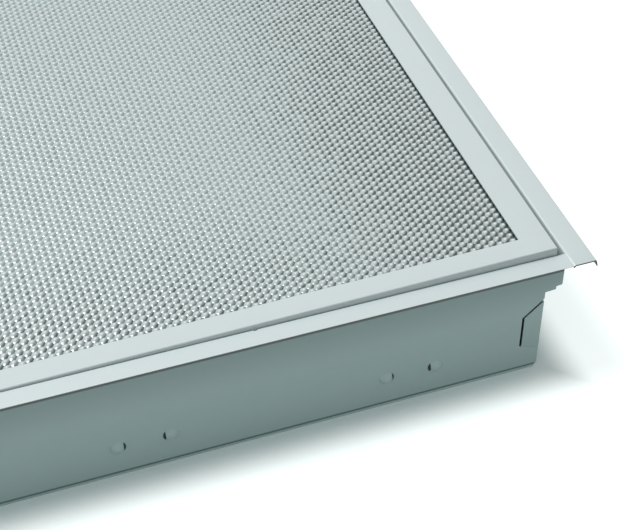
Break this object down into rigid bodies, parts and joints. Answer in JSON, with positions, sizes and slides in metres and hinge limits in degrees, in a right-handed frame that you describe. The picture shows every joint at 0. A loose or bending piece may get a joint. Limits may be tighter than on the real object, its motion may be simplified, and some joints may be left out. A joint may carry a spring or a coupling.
{
  "type": "recessed troffer light",
  "caption": "Lay-in recessed ceiling light with a hinged prismatic lens door, tube lamps in rotary holders, a covered gear tray and bend-out ceiling clips.",
  "frame": {"origin": "centre of the underside of the back panel, with the light lying on its back as in the picture", "axes": "+Z out of the lens, which faces down into the room once the light is fitted; +Y along the length from the front end plate to the rear one; +X across the width from the hinge side to the latch side"},
  "size_m": [0.605, 1.213, 0.1059],
  "materials": {
    "white_paint": "satin white powder coat on folded steel",
    "housing_paint": "thin satin grey-white coat on steel sheet",
    "lens_acrylic": "clear acrylic, moulded with small prisms on its outer face",
    "lamp_glass": "glass tube with a white coating inside",
    "cap_aluminium": "drawn, satin",
    "holder_plastic": "white moulded thermoset",
    "ballast_paint": "light grey coat",
    "terminal_plastic": "moulded nylon",
    "lead_insulation": "smooth insulated lead",
    "earth_green": "green plated",
    "zinc_steel": "bright zinc plate"
  },
  "bodies": {
    "housing": {"access_plate": "zinc_steel", "access_plate_screws": "zinc_steel", "ballast": "ballast_paint", "ballast_screws": "zinc_steel", "earth_screw": "earth_green", "end_plate_front": "housing_paint", "end_plate_rear": "housing_paint", "end_plate_screws": "zinc_steel", "gear_cover": "housing_paint", "gear_cover_screws": "zinc_steel", "hinge_bracket_front": "zinc_steel", "hinge_bracket_rear": "zinc_steel", "hinge_pin_front": "zinc_steel", "hinge_pin_rear": "zinc_steel", "housing_body": "housing_paint", "lamp_leads_front": "lead_insulation", "lamp_leads_rear": "lead_insulation", "lampholder_front_centre": "holder_plastic", "lampholder_front_left": "holder_plastic", "lampholder_front_right": "holder_plastic", "lampholder_rear_centre": "holder_plastic", "lampholder_rear_left": "holder_plastic", "lampholder_rear_right": "holder_plastic", "side_rail_left": "white_paint", "side_rail_right": "white_paint", "supply_leads": "lead_insulation", "terminal_block": "terminal_plastic"},
    "clip_front_left": {"ceiling_clip_front_left": "housing_paint"},
    "clip_front_right": {"ceiling_clip_front_right": "housing_paint"},
    "clip_rear_left": {"ceiling_clip_rear_left": "housing_paint"},
    "clip_rear_right": {"ceiling_clip_rear_right": "housing_paint"},
    "door": {"door_corner_keys": "zinc_steel", "door_end_front": "white_paint", "door_end_rear": "white_paint", "door_hinge_arm_front": "zinc_steel", "door_hinge_arm_rear": "zinc_steel", "door_side_left": "white_paint", "door_side_right": "white_paint", "lens": "lens_acrylic", "lens_clips": "zinc_steel"},
    "lamp_centre": {"lamp_caps_centre": "cap_aluminium", "lamp_rotors_centre": "holder_plastic", "lamp_tube_centre": "lamp_glass"},
    "lamp_left": {"lamp_caps_left": "cap_aluminium", "lamp_rotors_left": "holder_plastic", "lamp_tube_left": "lamp_glass"},
    "lamp_right": {"lamp_caps_right": "cap_aluminium", "lamp_rotors_right": "holder_plastic", "lamp_tube_right": "lamp_glass"},
    "latch_front": {"latch_cam_front": "zinc_steel", "latch_knob_front": "zinc_steel"},
    "latch_rear": {"latch_cam_rear": "zinc_steel", "latch_knob_rear": "zinc_steel"}
  },
  "joints": [
    {"name": "door_swing", "type": "hinge", "parent": "housing", "child": "door", "pos_m": [-0.2734, 0, 0.0923], "axis": [0, -1, 0], "range_deg": [-0.74, 95]},
    {"name": "latch_turn_front", "type": "hinge", "parent": "door", "child": "latch_front", "pos_m": [0.27029, -0.25, 0.10432], "axis": [0.0129, 0, -0.9999], "range_deg": [0, 90]},
    {"name": "latch_turn_rear", "type": "hinge", "parent": "door", "child": "latch_rear", "pos_m": [0.27029, 0.25, 0.10432], "axis": [0.0129, 0, -0.9999], "range_deg": [0, 90]},
    {"name": "lamp_turn_left", "type": "hinge", "parent": "housing", "child": "lamp_left", "pos_m": [-0.181, 0, 0.045], "axis": [0, 1, 0], "range_deg": [0, 90]},
    {"name": "lamp_turn_centre", "type": "hinge", "parent": "housing", "child": "lamp_centre", "pos_m": [0, 0, 0.045], "axis": [0, 1, 0], "range_deg": [0, 90]},
    {"name": "lamp_turn_right", "type": "hinge", "parent": "housing", "child": "lamp_right", "pos_m": [0.181, 0, 0.045], "axis": [0, 1, 0], "range_deg": [0, 90]},
    {"name": "clip_bend_front_left", "type": "hinge", "parent": "housing", "child": "clip_front_left", "pos_m": [-0.2594, -0.5943, 0.022], "axis": [0.942, 0, 0.3355], "range_deg": [0, 90]},
    {"name": "clip_bend_front_right", "type": "hinge", "parent": "housing", "child": "clip_front_right", "pos_m": [0.2594, -0.5943, 0.022], "axis": [0.942, 0, -0.3355], "range_deg": [0, 90]},
    {"name": "clip_bend_rear_left", "type": "hinge", "parent": "housing", "child": "clip_rear_left", "pos_m": [-0.2594, 0.5943, 0.022], "axis": [-0.942, 0, -0.3355], "range_deg": [0, 90]},
    {"name": "clip_bend_rear_right", "type": "hinge", "parent": "housing", "child": "clip_rear_right", "pos_m": [0.2594, 0.5943, 0.022], "axis": [-0.942, 0, 0.3355], "range_deg": [0, 90]}
  ]
}
